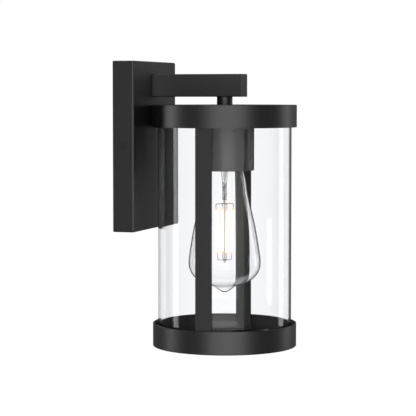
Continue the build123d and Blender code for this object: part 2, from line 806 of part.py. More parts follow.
bracket_face_y = -bracket_thickness
lug_barrel_radius = wire_radius + wire_clearance + lug_barrel_wall
lug_barrel_y = bracket_face_y - lug_barrel_radius
with BuildPart() as ground_lug:
    with BuildSketch(upright(bracket_face_y)):
        with Locations((ground_screw_x, 0)):
            Circle(lug_radius)
        with Locations((ground_screw_x, lug_radius)):
            Rectangle(2 * lug_barrel_radius, lug_neck_length)
        with Locations((ground_screw_x, 0)):
            Circle(ground_screw_radius + screw_clearance, mode=Mode.SUBTRACT)
    extrude(amount=lug_thickness)
    with BuildSketch(Plane(origin=(ground_screw_x, lug_barrel_y, lug_radius))):
        Circle(lug_barrel_radius)
    extrude(amount=lug_barrel_length)
    with BuildSketch(Plane(origin=(ground_screw_x, lug_barrel_y, lug_radius + lug_barrel_wall))):
        Circle(wire_radius + wire_clearance)
    extrude(amount=lug_barrel_length, mode=Mode.SUBTRACT)
save(ground_lug, "ground_lug")

ground_seat = Plane(origin=(ground_screw_x, bracket_face_y - lug_thickness, 0), z_dir=(0, -1, 0))
ground_screw = pan_screws(
    [ground_seat], ground_screw_radius, ground_screw_head_radius, ground_screw_length
)
save(ground_screw, "ground_screw")

# Leads: up from the lampholder through the threaded rod, along the arm, and down to the terminal block
lead_turn_z = (holder_top_z + nipple_bottom_z) / 2
lead_rows = (
    ("wire_live", 1, arm_centre_z - wire_spacing / 2, terminal_wire_y, -terminal_pole_x),
    ("wire_neutral", -1, arm_centre_z + wire_spacing / 2, terminal_wire_y + wire_spacing,
     terminal_pole_x),
)
for name, side, run_z, drop_y, pole_x in lead_rows:
    lead = wire(
        [
            (0, axis_y + side * wire_terminal_y_offset, holder_top_z - wire_tuck),
            (0, axis_y + side * wire_terminal_y_offset, lead_turn_z),
            (0, axis_y + side * wire_offset, lead_turn_z),
            (0, axis_y + side * wire_offset, run_z),
            (0, drop_y, run_z),
            (pole_x, terminal_wire_y, terminal_top_z + 2 * wire_bend),
            (pole_x, terminal_wire_y, terminal_top_z - wire_tuck),
        ],
        wire_bend,
    )
    save(lead, name)

earth_lead = wire(
    [
        (ground_screw_x, lug_barrel_y, lug_radius + lug_barrel_wall),
        (ground_screw_x, lug_barrel_y, lug_radius + lug_barrel_length + 2 * wire_bend),
        (0, terminal_wire_y, terminal_top_z - terminal_height - 2 * wire_bend),
        (0, terminal_wire_y, terminal_top_z - terminal_height + wire_tuck),
    ],
    wire_bend,
)
save(earth_lead, "wire_ground")

# Lamp base: centre contact, insulator, and a shell with rolled threads
with BuildPart() as bulb_contact:
    with BuildSketch(level(below(lamp_contact_height))):
        Circle(lamp_contact_radius)
    extrude(amount=lamp_contact_height)
save(bulb_contact, "bulb_contact")

with BuildPart() as bulb_insulator:
    with BuildSketch(lantern_section):
        with BuildLine():
            Polyline(
                (0, lamp_insulator_z),
                (lamp_insulator_radius, lamp_insulator_z),
                (lamp_contact_radius + lamp_contact_margin, lamp_insulator_z + lamp_insulator_height),
                (0, lamp_insulator_z + lamp_insulator_height),
                close=True,
            )
        make_face()
    revolve(axis=lantern_axis)
save(bulb_insulator, "bulb_insulator")

thread_top_z = lamp_insulator_z - lamp_thread_pitch
thread_points = [
    (lamp_base_radius - lamp_thread_crest, thread_top_z - turn * lamp_thread_pitch)
    for turn in range(lamp_thread_turns)
]
with BuildPart() as bulb_base_shell:
    with BuildSketch(lantern_section):
        with Locations((lamp_base_root_radius / 2, lamp_insulator_z - lamp_base_length / 2)):
            Rectangle(lamp_base_root_radius, lamp_base_length)
        with Locations(*thread_points):
            Circle(lamp_thread_crest)
        with Locations((lamp_base_inner_radius / 2,
                        lamp_insulator_z - lamp_base_flange - lamp_base_length / 2)):
            Rectangle(lamp_base_inner_radius, lamp_base_length, mode=Mode.SUBTRACT)
        with Locations((lamp_base_flange_radius / 2, lamp_insulator_z)):
            Rectangle(lamp_base_flange_radius, 2 * lamp_base_flange, mode=Mode.SUBTRACT)
    revolve(axis=lantern_axis)
save(bulb_base_shell, "bulb_base_shell")


def lamp_outline(inset):
    """Half outline of the lamp's glass, moved in by the given wall."""
    neck_radius = lamp_neck_radius - inset
    widest_z = below(lamp_widest_below)
    bottom_z = below(lamp_bottom_below) + inset
    widest = lamp_radius - inset
    corner = lamp_corner_radius - inset
    drop = widest_z - bottom_z
    crown = (drop**2 + (widest - corner) ** 2 - corner**2) / (2 * (drop - corner))
    crown_centre = Vector(0, bottom_z + crown)
    corner_centre = Vector(widest - corner, widest_z)
    meeting = crown_centre + (corner_centre - crown_centre).normalized() * crown
    neck_top_z = lamp_shell_bottom_z + lamp_neck_tuck
    run_out = widest - neck_radius
    run_down = widest_z - lamp_shell_bottom_z
    side = [
        (neck_radius + out * run_out, lamp_shell_bottom_z + down * run_down)
        for out, down in lamp_flank_shares
    ]
    neck = Line((neck_radius, neck_top_z), (neck_radius, lamp_shell_bottom_z))
    flank = Spline(
        (neck_radius, lamp_shell_bottom_z),
        *side,
        (widest, widest_z),
        tangents=((lamp_neck_slope, -1), (0, -1)),
    )
    bulge = RadiusArc(flank @ 1, (meeting.X, meeting.Y), corner)
    bowl = RadiusArc(bulge @ 1, (0, bottom_z), crown)
    Line(bowl @ 1, (0, neck_top_z))
    Line((0, neck_top_z), neck @ 0)


with BuildPart() as bulb_glass:
    with BuildSketch(lantern_section):
        with BuildLine():
            lamp_outline(0)
        make_face()
    revolve(axis=lantern_axis)
    with BuildSketch(lantern_section):
        with BuildLine():
            pip = Spline(
                (lamp_pip_radius, below(lamp_bottom_below) + lamp_glass_wall),
                (0, below(lamp_bottom_below + lamp_pip_length)),
                tangents=((-1, -lamp_pip_slope), (-1, 0)),
            )
            Polyline(pip @ 1, (0, below(lamp_bottom_below) + lamp_glass_wall), pip @ 0)
        make_face()
    revolve(axis=lantern_axis)
    with BuildSketch(lantern_section):
        with BuildLine():
            lamp_outline(lamp_glass_wall)
        make_face()
    revolve(axis=lantern_axis, mode=Mode.SUBTRACT)
save(bulb_glass, "bulb_glass")

# Lamp's glass stem: flare sealed in the neck, tube, flattened press and centre rod
flare_z = below(flare_start_below)
tube_end_z = below(stem_tube_below)
press_end_z = tube_end_z - press_length
lead_points = [(-lead_offset, 0), (lead_offset, 0)]


def flare_outline(inset):
    """Half outline of the stem's flare and tube, moved in by the given wall and closed on the axis."""
    tube_radius = stem_tube_radius - inset
    floor_z = tube_end_z + inset
    skirt = Spline(
        (flare_radius - inset, flare_z),
        (tube_radius, (flare_z + tube_end_z) / 2),
        tangents=((0, -1), (0, -1)),
    )
    Polyline(skirt @ 1, (tube_radius, floor_z), (0, floor_z), (0, flare_z), skirt @ 0)


with BuildPart() as bulb_stem:
    with BuildSketch(lantern_section):
        with BuildLine():
            flare_outline(0)
        make_face()
    revolve(axis=lantern_axis)
    with BuildSketch(lantern_section):
        with BuildLine():
            flare_outline(stem_wall)
        make_face()
    revolve(axis=lantern_axis, mode=Mode.SUBTRACT)
    with BuildSketch(level(tube_end_z)):
        RectangleRounded(press_width, press_thickness, press_edge_radius)
    extrude(amount=-press_length)
    with BuildSketch(level(press_end_z)):
        with Locations(*lead_points):
            Circle(frame_wire_radius + lead_clearance)
    extrude(amount=press_length + stem_wall, mode=Mode.SUBTRACT)
    with BuildSketch(level(press_end_z)):
        Circle(rod_radius)
    extrude(amount=-(press_end_z - below(rod_end_below)))
save(bulb_stem, "bulb_stem")

# Filaments: straight rods that lean together at the bottom
filament_lines = []
for turn in range(filament_count):
    heading = Vector(1, 0, 0).rotate(Axis.Z, filament_turn + turn * 360 / filament_count)
    top = Vector(0, axis_y, below(filament_top_below)) + heading * filament_top_spread
    bottom = Vector(0, axis_y, below(filament_bottom_below)) + heading * filament_bottom_spread
    filament_lines.append((heading, top, bottom))

with BuildPart() as led_filaments:
    for _, top, bottom in filament_lines:
        with BuildSketch(Plane(origin=top, z_dir=bottom - top)):
            Circle(filament_radius)
        extrude(amount=(bottom - top).length)
save(led_filaments, "led_filaments")

# Lead wires: down from the base through the stem's press; each branches to two filaments' tops
frame_top_z = below(frame_top_below)
with BuildPart() as lead_wires:
    for lead_x, first, second in ((lead_offset, 3, 0), (-lead_offset, 1, 2)):
        corner = Vector(lead_x, axis_y, frame_top_z)
        for turn, start_z, radius in (
            (first, lamp_insulator_z, frame_wire_radius),
            (second, press_end_z, lead_branch_radius),
        ):
            _, top, bottom = filament_lines[turn]
            lean = top - bottom
            elbow = top + lean * ((frame_top_z - top.Z) / lean.Z)
            with BuildLine() as route:
                FilletPolyline((lead_x, axis_y, start_z), corner, elbow, top, radius=frame_bend)
            with BuildSketch(Plane(origin=route.line @ 0, z_dir=route.line % 0)):
                Circle(radius)
            sweep(path=route.line)
save(lead_wires, "lead_wires")

# Wire frame: a hub pressed on the rod's end, and a spoke to each filament's lower end
frame_spoke_start = rod_radius + frame_hub_fit + frame_hub_wall / 2
frame_bottom_z = below(frame_bottom_below)
with BuildPart() as filament_frame:
    with BuildSketch(level(frame_bottom_z - frame_hub_height / 2)):
        Circle(rod_radius + frame_hub_fit + frame_hub_wall)
        Circle(rod_radius + frame_hub_fit, mode=Mode.SUBTRACT)
    extrude(amount=frame_hub_height)
    for heading, top, bottom in filament_lines:
        lean = bottom - top
        elbow = bottom + lean * ((frame_bottom_z - bottom.Z) / lean.Z)
        hub = Vector(0, axis_y, frame_bottom_z) + heading * frame_spoke_start
        with BuildLine() as spoke:
            FilletPolyline(bottom, elbow, hub, radius=frame_bend)
        with BuildSketch(Plane(origin=bottom, z_dir=elbow - bottom)):
            Circle(frame_wire_radius)
        sweep(path=spoke.line)
save(filament_frame, "filament_frame")
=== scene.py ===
"""Looks of the outdoor wall lantern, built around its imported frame. Metres; +Y points into the wall."""
import json
import math

import bpy
import numpy as np
from mathutils import Matrix, Vector


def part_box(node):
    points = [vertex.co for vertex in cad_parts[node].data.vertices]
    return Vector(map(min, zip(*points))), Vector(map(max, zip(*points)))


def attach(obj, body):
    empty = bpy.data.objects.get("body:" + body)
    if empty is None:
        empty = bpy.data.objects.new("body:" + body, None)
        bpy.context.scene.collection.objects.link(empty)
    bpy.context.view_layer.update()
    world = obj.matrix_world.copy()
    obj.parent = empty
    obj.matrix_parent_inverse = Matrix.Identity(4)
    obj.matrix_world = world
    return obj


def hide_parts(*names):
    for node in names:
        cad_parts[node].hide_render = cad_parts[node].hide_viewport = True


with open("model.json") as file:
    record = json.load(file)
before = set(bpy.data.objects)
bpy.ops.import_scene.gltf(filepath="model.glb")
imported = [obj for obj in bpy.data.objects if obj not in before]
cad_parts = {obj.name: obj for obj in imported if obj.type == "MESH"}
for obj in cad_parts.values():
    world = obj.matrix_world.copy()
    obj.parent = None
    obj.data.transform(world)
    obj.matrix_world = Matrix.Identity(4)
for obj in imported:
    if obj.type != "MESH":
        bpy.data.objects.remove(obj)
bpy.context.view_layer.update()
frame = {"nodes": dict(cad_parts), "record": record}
nodes = frame["nodes"]
scene = bpy.context.scene
scene.view_settings.view_transform = "Standard"

# Places and sizes read from the frame
MM = 0.001
ring_low, ring_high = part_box("bottom_ring")
AXIS = Vector(((ring_low.x + ring_high.x) / 2, (ring_low.y + ring_high.y) / 2, 0))
tube_low, tube_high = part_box("glass_cylinder")
TUBE_RADIUS = (tube_high.x - tube_low.x) / 2
lamp_low, lamp_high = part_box("bulb_glass")
LAMP_RADIUS = (lamp_high.x - lamp_low.x) / 2
stem_low, stem_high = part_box("bulb_stem")
FLARE_RADIUS = (stem_high.x - stem_low.x) / 2
shell_low, shell_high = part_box("bulb_base_shell")
holder_low, holder_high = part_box("socket_screw_shell")
strips_low, strips_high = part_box("led_filaments")

# Glass tube
TUBE_WALL = 2.3 * MM
TUBE_EDGE = 0.7 * MM

# Lamp's glass; the flank's form is in shares of the way out and of the way down, from neck to widest circle
LAMP_WALL = 0.7 * MM
LAMP_NECK_RADIUS = 11.9 * MM
LAMP_NECK_TUCK = 8.0 * MM
LAMP_NECK_SLOPE = 0.25
LAMP_FLANK_SHARES = ((0.205, 0.085), (0.395, 0.261), (0.700, 0.577), (0.955, 0.896))
LAMP_BOWL_DEPTH = 21.7 * MM
LAMP_CORNER = 18.0 * MM
LAMP_TIP_LENGTH = 4.6 * MM
LAMP_TIP_RADIUS = 12.0 * MM

# Lamp's stem; its last three forms are points (radius, height) in mm, with heights counted from the press's
# top, the press's end and the rod's end
STEM_WALL = 0.8 * MM
STEM_TUBE_RADIUS = 3.4 * MM
STEM_FLARE_LENGTH = 12.0 * MM
STEM_TUBE_LENGTH = 27.0 * MM
STEM_FLOOR_HEIGHT = 7.0 * MM
PRESS_LENGTH = 12.0 * MM
PRESS_WIDTH = 8.0 * MM
PRESS_THICKNESS = 3.4 * MM
PRESS_FOOT_HEIGHT = 1.0 * MM
PRESS_MARGIN = 0.01 * MM
STEM_FLOOR = ((0, 0), (0.5, 0.2), (2.12, 3.0))
PRESS_FOOT = ((2.72, 0.25), (1.44, 0), (0.9, -1.2))
ROD_TIP = ((0.9, 0.6), (0.63, 0.1), (0, 0))

# Screw thread, and the lamp's shell and holder's sleeve that carry it
THREAD_PITCH = 3.629 * MM
THREAD_DEPTH = 0.65 * MM
THREAD_RUN = 0.22 * MM
SHELL_ROOT = 12.35 * MM
SHELL_WALL = 0.35 * MM
SHELL_FLANGE = 0.5 * MM
SHELL_FLANGE_WIDTH = 3.0 * MM
SHELL_SHOULDER = 0.9 * MM
SHELL_COLLAR = 3.2 * MM
SHELL_RUN_OUT = 1.6 * MM
SLEEVE_GAP = 0.3 * MM
SLEEVE_WALL = 0.5 * MM
SLEEVE_OVERRUN = 1.0 * MM
SLEEVE_RUN_OUT = 0.5 * MM
FLANGE_EDGE = 0.15 * MM
CUT_EDGE = 0.1 * MM

# Filament strips
FILAMENT_RADIUS = 1.0 * MM
FILAMENT_COUNT = 4
FILAMENT_TURN = math.radians(32.3)
FILAMENT_TOP_SPREAD = 7.9 * MM
FILAMENT_BOTTOM_SPREAD = 6.4 * MM


def linear(code):
    """sRGB hex code to the linear colour that a socket takes."""
    parts = [int(code[i:i + 2], 16) / 255 for i in (0, 2, 4)]
    return (*[p / 12.92 if p <= 0.04045 else ((p + 0.055) / 1.055) ** 2.4 for p in parts], 1.0)


def add(tree, kind, inputs=None, **settings):
    """Adds a node with its settings; an input takes a value, an output, or a node's first output."""
    node = tree.nodes.new(kind)
    for name, value in settings.items():
        setattr(node, name, value)
    for name, value in (inputs or {}).items():
        if isinstance(value, bpy.types.Node):
            value = next(output for output in value.outputs if output.enabled)
        if isinstance(value, bpy.types.NodeSocket):
            tree.links.new(value, node.inputs[name])
        else:
            node.inputs[name].default_value = value
    return node


# Finishes

def new_material(name, inputs):
    """A material with one Principled surface, its tree, that surface and the Object coordinates."""
    material = bpy.data.materials.new(name)
    material.use_nodes = True
    tree = material.node_tree
    tree.nodes.clear()
    surface = add(tree, "ShaderNodeBsdfPrincipled", inputs)
    add(tree, "ShaderNodeOutputMaterial", {"Surface": surface})
    coords = add(tree, "ShaderNodeTexCoord").outputs["Object"]
    return material, tree, surface, coords


def drifting(name, dark, light, cloud, grain, rough, relief, stretch=(1, 1, 1), **fixed):
    """A finish whose tone drifts in clouds, while gloss and relief follow a finer grain; sizes in mm."""
    material, tree, surface, coords = new_material(name, fixed)
    clouds = add(tree, "ShaderNodeTexNoise", {"Vector": coords, "Scale": 1 / (cloud * MM), "Detail": 3.0})
    drawn = add(tree, "ShaderNodeMapping", {"Vector": coords, "Scale": stretch})
    grains = add(tree, "ShaderNodeTexNoise", {"Vector": drawn, "Scale": 1 / (grain * MM), "Detail": 2.0})
    tone = add(tree, "ShaderNodeMix", {
        "Factor": clouds, "A": linear(dark), "B": linear(light)}, data_type="RGBA")
    gloss = add(tree, "ShaderNodeMapRange", {"Value": grains, "To Min": rough[0], "To Max": rough[1]})
    bump = add(tree, "ShaderNodeBump", {"Height": grains, "Strength": 0.5, "Distance": relief * MM})
    tree.links.new(tone.outputs["Result"], surface.inputs["Base Color"])
    tree.links.new(gloss.outputs["Result"], surface.inputs["Roughness"])
    tree.links.new(bump.outputs["Normal"], surface.inputs["Normal"])
    return material


def satin_black_powder_coat():
    """Baked powder on steel: an even black skin whose fine orange peel spreads highlights into soft bands."""
    return drifting("satin_black_powder_coat", "0e0e0e", "131314", cloud=28, grain=1.1,
                    rough=(0.36, 0.46), relief=0.006, IOR=1.8)


def dull_black_powder_coat():
    """The same powder on the lampholder's cup, baked duller by the lamp's heat: a wider, softer highlight."""
    return drifting("dull_black_powder_coat", "0e0e0e", "141413", cloud=20, grain=1.1,
                    rough=(0.48, 0.56), relief=0.006, IOR=2.1)


def black_lacquered_steel():
    """Screws lacquered to match the coat: black, a little duller, with a gleam on the recess edges."""
    return drifting("black_lacquered_steel", "0e0e0e", "151413", cloud=2.5, grain=0.3,
                    rough=(0.38, 0.5), relief=0.008, IOR=1.75)


def clear_glass(name, tint, sheen):
    """Clear blown glass: its faces mirror faintly and its edges gather what stands behind them."""
    material, tree, surface, coords = new_material(name, {
        "Roughness": 0.0, "Transmission Weight": 1.0, "IOR": 1.5, "Specular Tint": (sheen, sheen, sheen, 1)})
    clouds = add(tree, "ShaderNodeTexNoise", {"Vector": coords, "Scale": 1 / (45 * MM), "Detail": 1.0})
    tone = add(tree, "ShaderNodeMix", {
        "Factor": clouds, "A": linear(tint), "B": linear("ffffff")}, data_type="RGBA")
    tree.links.new(tone.outputs["Result"], surface.inputs["Base Color"])
    return material


def black_silicone():
    """Moulded silicone rubber: deep matt black with a dusty bloom."""
    return drifting("black_silicone_rubber", "121213", "232325", cloud=6, grain=0.5,
                    rough=(0.62, 0.8), relief=0.02, IOR=1.41)


def closed_cell_foam():
    """Cut foam strip: charcoal, pitted all over with the cells that the knife opened."""
    material, tree, surface, coords = new_material("closed_cell_foam", {"Roughness": 0.92, "IOR": 1.45})
    cells = add(tree, "ShaderNodeTexVoronoi", {"Vector": coords, "Scale": 1 / (0.9 * MM)})
    tone = add(tree, "ShaderNodeMix", {
        "Factor": cells, "A": linear("232426"), "B": linear("3f4043")}, data_type="RGBA")
    bump = add(tree, "ShaderNodeBump", {"Height": cells, "Strength": 0.8, "Distance": 0.25 * MM})
    tree.links.new(tone.outputs["Result"], surface.inputs["Base Color"])
    tree.links.new(bump.outputs["Normal"], surface.inputs["Normal"])
    return material


def zinc_plated_steel():
    """Bright zinc on pressed steel: cool grey, cloudy in patches, faint rolling lines along the strip."""
    return drifting("zinc_plated_steel", "9aa0a8", "c3c8cd", cloud=9, grain=0.8, stretch=(0.12, 1, 1),
                    rough=(0.26, 0.42), relief=0.008, Metallic=1.0)


def green_passivated_steel():
    """Earth screw with green passivate over zinc: metallic green, uneven where the dye pooled."""
    return drifting("green_passivated_steel", "1f6b3a", "3a9a57", cloud=2, grain=0.4,
                    rough=(0.25, 0.4), relief=0.008, Metallic=0.9)


def turned_brass():
    """Turned brass: warm yellow, fine tool rings, slightly tarnished in clouds."""
    return drifting("turned_brass", "a8823c", "d2b069", cloud=4, grain=0.35, stretch=(1, 1, 0.2),
                    rough=(0.2, 0.36), relief=0.006, Metallic=1.0)


def nickel_plated_brass(name):
    """Nickel on rolled brass: pale warm silver, soft rolling streaks round the thread."""
    return drifting(name, "a9a59c", "d0ccc2", cloud=7, grain=0.5, stretch=(0.3, 0.3, 1),
                    rough=(0.18, 0.34), relief=0.006, Metallic=1.0)


def glazed_porcelain():
    """Glazed porcelain: warm white body under a glassy coat, with a few grey iron specks."""
    material, tree, surface, coords = new_material("glazed_porcelain", {
        "Roughness": 0.35, "IOR": 1.5, "Coat Weight": 0.8, "Coat Roughness": 0.08,
        "Subsurface Weight": 0.05, "Subsurface Scale": 1.5 * MM})
    clouds = add(tree, "ShaderNodeTexNoise", {"Vector": coords, "Scale": 1 / (12 * MM), "Detail": 2.0})
    tone = add(tree, "ShaderNodeMix", {
        "Factor": clouds, "A": linear("ddd8cd"), "B": linear("efebe2")}, data_type="RGBA")
    specks = add(tree, "ShaderNodeTexNoise", {"Vector": coords, "Scale": 1 / (1.3 * MM), "Detail": 0.0})
    rare = add(tree, "ShaderNodeMapRange", {"Value": specks, "From Min": 0.74, "From Max": 0.8})
    speckled = add(tree, "ShaderNodeMix", {
        "Factor": rare, "A": tone, "B": linear("a59f94")}, data_type="RGBA")
    tree.links.new(speckled.outputs["Result"], surface.inputs["Base Color"])
    return material


def moulded_polyamide():
    """Moulded polyamide: milky off-white, fine spark-eroded grain."""
    return drifting("moulded_polyamide", "d5d2c6", "e6e3d8", cloud=8, grain=0.3,
                    rough=(0.42, 0.58), relief=0.012, IOR=1.53)


def pvc_insulation(name, dark, light):
    """Extruded PVC on a lead: even colour, waxy, faint lengthwise die marks."""
    return drifting(name, dark, light, cloud=11, grain=0.6, stretch=(1, 0.15, 0.15),
                    rough=(0.38, 0.5), relief=0.008, IOR=1.54)


def black_base_glass():
    """Black glass cast in the lamp's base: pitch black, wet shine, tiny frozen ripples."""
    return drifting("black_base_glass", "0b0b0d", "17171a", cloud=3, grain=1.2,
                    rough=(0.06, 0.16), relief=0.02, IOR=1.52)


def tin_solder():
    """Tin solder button: soft bright grey, frosted where it froze last."""
    return drifting("tin_solder", "8f9195", "c4c6c9", cloud=1.5, grain=0.5,
                    rough=(0.22, 0.5), relief=0.03, Metallic=1.0)


def drawn_nickel_wire():
    """Drawn nickel wire, dulled by the sealing flame: dark grey with lengthwise die lines."""
    return drifting("drawn_nickel_wire", "45433f", "66645f", cloud=3, grain=0.3, stretch=(1, 1, 0.2),
                    rough=(0.3, 0.45), relief=0.006, Metallic=1.0)


def nickel_spider_painted_lit():
    """Lower wire frame: a lighter, warmer copy of the nickel wire, painted lit to stand in for the full light
    of the strips.
    """
    return drifting("nickel_spider_painted_lit", "a8a5a0", "c6c3be", cloud=3, grain=0.3,
                    rough=(0.35, 0.5), relief=0.006, Metallic=0.7)


def clouded_glass_rod_painted_glow():
    """Centre rod of clouded glass: warm off-white, with a painted glow, an emission that stands in for the
    light of the strips round it.
    """
    return drifting("clouded_glass_rod_painted_glow", "c4c6cc", "d2d4da", cloud=4, grain=0.8, stretch=(1, 1, 0.1),
                    rough=(0.3, 0.45), relief=0.004, IOR=1.5,
                    **{"Emission Color": linear("e8dcd4"), "Emission Strength": 0.5})


def pinched_seal_glass():
    """Glass pinched round the lead wires while hot: clear, but clouded by smoky folds and seeds."""
    material, tree, surface, coords = new_material("pinched_seal_glass", {
        "Roughness": 0.12, "IOR": 1.5, "Transmission Weight": 0.7})
    folds = add(tree, "ShaderNodeTexNoise", {"Vector": coords, "Scale": 1 / (2.4 * MM), "Detail": 1.0})
    smoke = add(tree, "ShaderNodeMapRange", {"Value": folds, "From Min": 0.42, "From Max": 0.58})
    tone = add(tree, "ShaderNodeMix", {
        "Factor": smoke, "A": linear("7d7d7b"), "B": linear("fafaf8")}, data_type="RGBA")
    bump = add(tree, "ShaderNodeBump", {"Height": folds, "Strength": 0.6, "Distance": 0.2 * MM})
    tree.links.new(tone.outputs["Result"], surface.inputs["Base Color"])
    tree.links.new(bump.outputs["Normal"], surface.inputs["Normal"])
    return material


def lit_phosphor():
    """Phosphor-filled silicone on the lit filaments: near white along the strip, amber at its cooler ends."""
    material, tree, surface, coords = new_material("lit_phosphor_silicone", {
        "Base Color": linear("f6dfb4"), "Roughness": 0.5, "Emission Strength": 1.0})
    along = add(tree, "ShaderNodeAttribute", attribute_name="along").outputs["Fac"]
    grains = add(tree, "ShaderNodeTexNoise", {"Vector": coords, "Scale": 1 / (0.4 * MM), "Detail": 2.0})
    offset = add(tree, "ShaderNodeMath", {0: along, 1: 0.5}, operation="SUBTRACT")
    from_middle = add(tree, "ShaderNodeMath", {0: offset}, operation="ABSOLUTE")
    end = add(tree, "ShaderNodeMapRange", {
        "Value": from_middle, "From Min": 0.405, "From Max": 0.465}, interpolation_type="SMOOTHSTEP")
    glow = add(tree, "ShaderNodeMix", {
        "Factor": grains, "A": (1.7, 1.3, 0.92, 1), "B": (2.0, 1.5, 1.0, 1)}, data_type="RGBA")
    light = add(tree, "ShaderNodeMix", {
        "Factor": end, "A": glow, "B": (0.66, 0.46, 0.31, 1)}, data_type="RGBA")
    tree.links.new(light.outputs["Result"], surface.inputs["Emission Color"])
    return material


finishes = {
    "black_powder_coat": satin_black_powder_coat(),
    "black_screws": black_lacquered_steel(),
    "clear_glass": clear_glass("clear_soda_lime_glass", "fcfdff", 0.35),
    "silicone": black_silicone(),
    "foam": closed_cell_foam(),
    "zinc_steel": zinc_plated_steel(),
    "green_screw": green_passivated_steel(),
    "brass": turned_brass(),
    "socket_shell_metal": nickel_plated_brass("nickel_plated_holder_shell"),
    "porcelain": glazed_porcelain(),
    "terminal_plastic": moulded_polyamide(),
    "black_insulation": pvc_insulation("black_pvc_insulation", "161617", "222224"),
    "white_insulation": pvc_insulation("white_pvc_insulation", "d9d8d4", "ecebe7"),
    "green_insulation": pvc_insulation("green_pvc_insulation", "1d7a3e", "2f9a55"),
    "lamp_glass": clear_glass("thin_lamp_glass", "fdfdfd", 0.25),
    "stem_glass": clear_glass("lead_glass_stem", "f8f9f7", 0.3),
    "lamp_base_metal": nickel_plated_brass("nickel_plated_lamp_base"),
    "lamp_insulator": black_base_glass(),
    "solder": tin_solder(),
    "frame_wire": drawn_nickel_wire(),
    "filament_phosphor": lit_phosphor(),
}
slots = {part["node"]: part["material_slot"] for part in frame["record"]["subparts"]}
for name, node in nodes.items():
    node.data.materials.clear()
    node.data.materials.append(finishes[slots[name]])
# The wire frame's lighter, warmer nickel is painted light, standing in for the strips' light on it
nodes["filament_frame"].data.materials[0] = nickel_spider_painted_lit()
nodes["socket_cup"].data.materials[0] = dull_black_powder_coat()


# Node trees that shape the turned, threaded, pressed and repeated pieces

def new_tree(name, **sockets):
    """A geometry tree that takes a mesh and the named inputs, with its input sockets."""
    tree = bpy.data.node_groups.new(name, "GeometryNodeTree")
    tree.interface.new_socket("Mesh", in_out="INPUT", socket_type="NodeSocketGeometry")
    for socket, kind in sockets.items():
        tree.interface.new_socket(socket, in_out="INPUT", socket_type="NodeSocket" + kind)
    tree.interface.new_socket("Mesh", in_out="OUTPUT", socket_type="NodeSocketGeometry")
    return tree, add(tree, "NodeGroupInput").outputs


def end_tree(tree, mesh, finish):
    """Closes a tree with real faces, smooth shading and the finish."""
    real = add(tree, "GeometryNodeRealizeInstances", {"Geometry": mesh})
    soft = add(tree, "GeometryNodeSetShadeSmooth", {"Geometry": real})
    done = add(tree, "GeometryNodeSetMaterial", {"Geometry": soft, "Material": finish})
    add(tree, "NodeGroupOutput", {"Mesh": done})


def turned_tree():
    """Turns a half section, drawn in the plane of X and Z, round the vertical axis."""
    lathe = 20 * MM
    weld = 0.0005 * MM
    tree, given = new_tree("turned_piece", Segments="Int", Axis="Vector", Finish="Material")
    place = add(tree, "GeometryNodeInputPosition")
    drawn = add(tree, "ShaderNodeSeparateXYZ", {"Vector": place}).outputs
    out = add(tree, "ShaderNodeMath", {0: drawn["X"], 1: lathe}, operation="SUBTRACT")
    down = add(tree, "ShaderNodeMath", {0: drawn["Z"], 1: -1.0}, operation="MULTIPLY")
    flat = add(tree, "ShaderNodeCombineXYZ", {"X": out, "Y": down})
    laid = add(tree, "GeometryNodeSetPosition", {"Geometry": given["Mesh"], "Position": flat})
    profile = add(tree, "GeometryNodeMeshToCurve", {"Mesh": laid})
    circle = add(tree, "GeometryNodeCurvePrimitiveCircle", {"Resolution": given["Segments"], "Radius": lathe})
    swept = add(tree, "GeometryNodeCurveToMesh", {"Curve": circle, "Profile Curve": profile})
    welded = add(tree, "GeometryNodeMergeByDistance", {"Geometry": swept, "Distance": weld})
    placed = add(tree, "GeometryNodeTransform", {"Geometry": welded, "Translation": given["Axis"]})
    end_tree(tree, placed, given["Finish"])
    return tree


